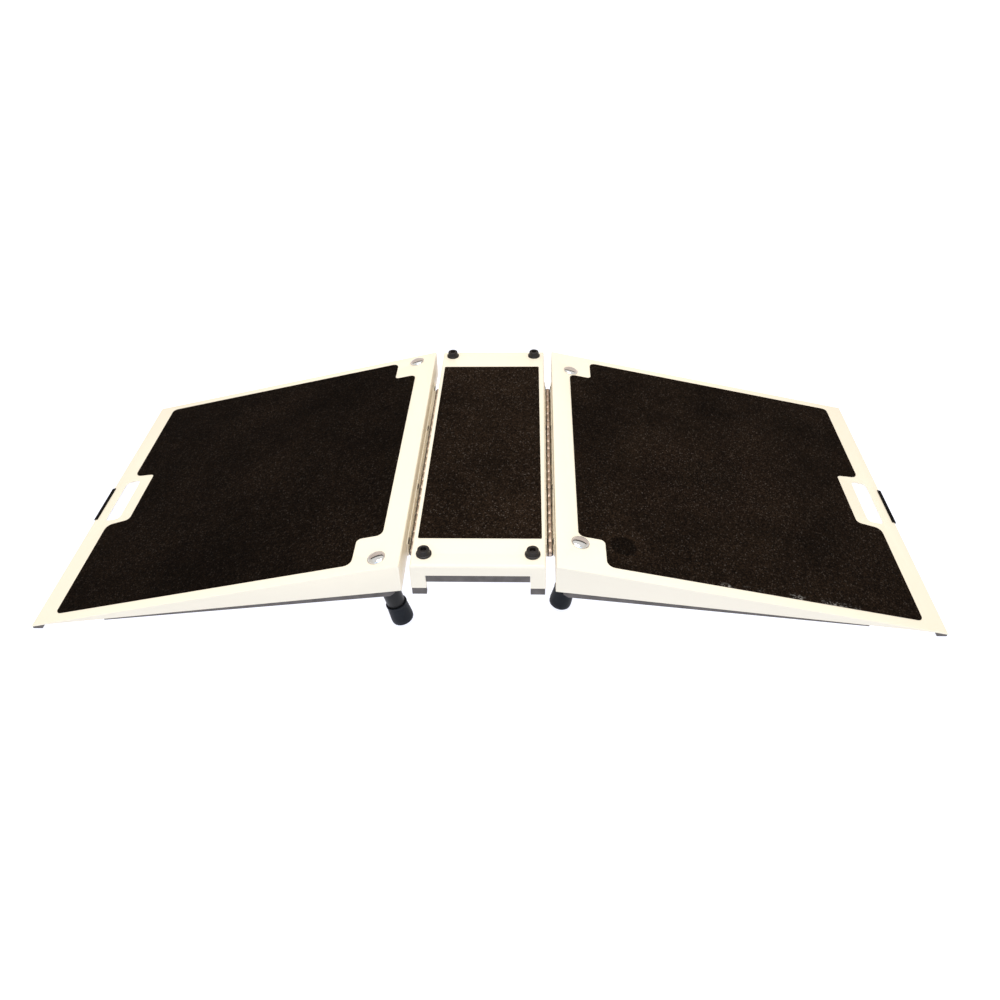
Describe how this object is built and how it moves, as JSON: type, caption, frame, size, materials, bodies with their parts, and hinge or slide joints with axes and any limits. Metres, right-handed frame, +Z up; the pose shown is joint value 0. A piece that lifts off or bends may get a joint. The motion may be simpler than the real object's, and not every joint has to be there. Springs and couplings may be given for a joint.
{
  "type": "folding loading ramp",
  "caption": "Folding threshold ramp: a short bridge on hinges between long wedge ramps, with grit decks, hand slots, rubber-tipped legs and rubber bumpers.",
  "frame": {"origin": "on the floor, under the middle of the bridge", "axes": "+X along the way a wheel travels, +Y across the ramp, +Z up"},
  "size_m": [1.5874, 0.7, 0.1673],
  "materials": {
    "cream_coat": "cream powder coat on aluminium sheet, satin",
    "black_grit": "coarse mineral grit on a self-adhesive sheet",
    "black_rubber": "moulded, matt",
    "grey_rubber": "extruded, matt",
    "black_coat": "black coated tube, satin",
    "bright_steel": "plated, bright",
    "hinge_steel": "bronzed, satin",
    "bare_aluminium": "mill finish"
  },
  "bodies": {
    "bridge": {"bridge_deck": "cream_coat", "bridge_grip_panel": "black_grit", "bridge_rib_far": "bare_aluminium", "bridge_rib_near": "bare_aluminium", "bumper_left_far": "black_rubber", "bumper_left_near": "black_rubber", "bumper_right_far": "black_rubber", "bumper_right_near": "black_rubber", "bumper_screw_left_far": "bright_steel", "bumper_screw_left_near": "bright_steel", "bumper_screw_right_far": "bright_steel", "bumper_screw_right_near": "bright_steel", "cutout_pad_far": "grey_rubber", "cutout_pad_near": "grey_rubber", "foot_pad_left_far": "grey_rubber", "foot_pad_left_near": "grey_rubber", "foot_pad_right_far": "grey_rubber", "foot_pad_right_near": "grey_rubber", "left_hinge_bridge_leaf": "hinge_steel", "left_hinge_pin": "hinge_steel", "right_hinge_bridge_leaf": "hinge_steel", "right_hinge_pin": "hinge_steel"},
    "left_ramp": {"ferrule_left_far": "black_rubber", "ferrule_left_near": "black_rubber", "left_edge_strip_far": "grey_rubber", "left_edge_strip_near": "grey_rubber", "left_grip_panel": "black_grit", "left_handle_strip": "black_rubber", "left_hinge_ramp_leaf": "hinge_steel", "left_ramp_deck": "cream_coat", "left_rib_far": "bare_aluminium", "left_rib_near": "bare_aluminium", "left_toe_rest": "grey_rubber", "leg_bolt_left_far": "bright_steel", "leg_bolt_left_near": "bright_steel", "leg_insert_left_far": "bare_aluminium", "leg_insert_left_near": "bare_aluminium", "leg_tube_left_far": "black_coat", "leg_tube_left_near": "black_coat"},
    "right_ramp": {"ferrule_right_far": "black_rubber", "ferrule_right_near": "black_rubber", "leg_bolt_right_far": "bright_steel", "leg_bolt_right_near": "bright_steel", "leg_insert_right_far": "bare_aluminium", "leg_insert_right_near": "bare_aluminium", "leg_tube_right_far": "black_coat", "leg_tube_right_near": "black_coat", "right_edge_strip_far": "grey_rubber", "right_edge_strip_near": "grey_rubber", "right_grip_panel": "black_grit", "right_handle_strip": "black_rubber", "right_hinge_ramp_leaf": "hinge_steel", "right_ramp_deck": "cream_coat", "right_rib_far": "bare_aluminium", "right_rib_near": "bare_aluminium", "right_toe_rest": "grey_rubber"}
  },
  "joints": [
    {"name": "left_ramp_fold", "type": "hinge", "parent": "bridge", "child": "left_ramp", "pos_m": [-0.1197, 0, 0.10584], "axis": [0, -1, 0], "range_deg": [-17, 90.5]},
    {"name": "right_ramp_fold", "type": "hinge", "parent": "bridge", "child": "right_ramp", "pos_m": [0.1197, 0, 0.10584], "axis": [0, 1, 0], "range_deg": [-17, 90.5]}
  ]
}
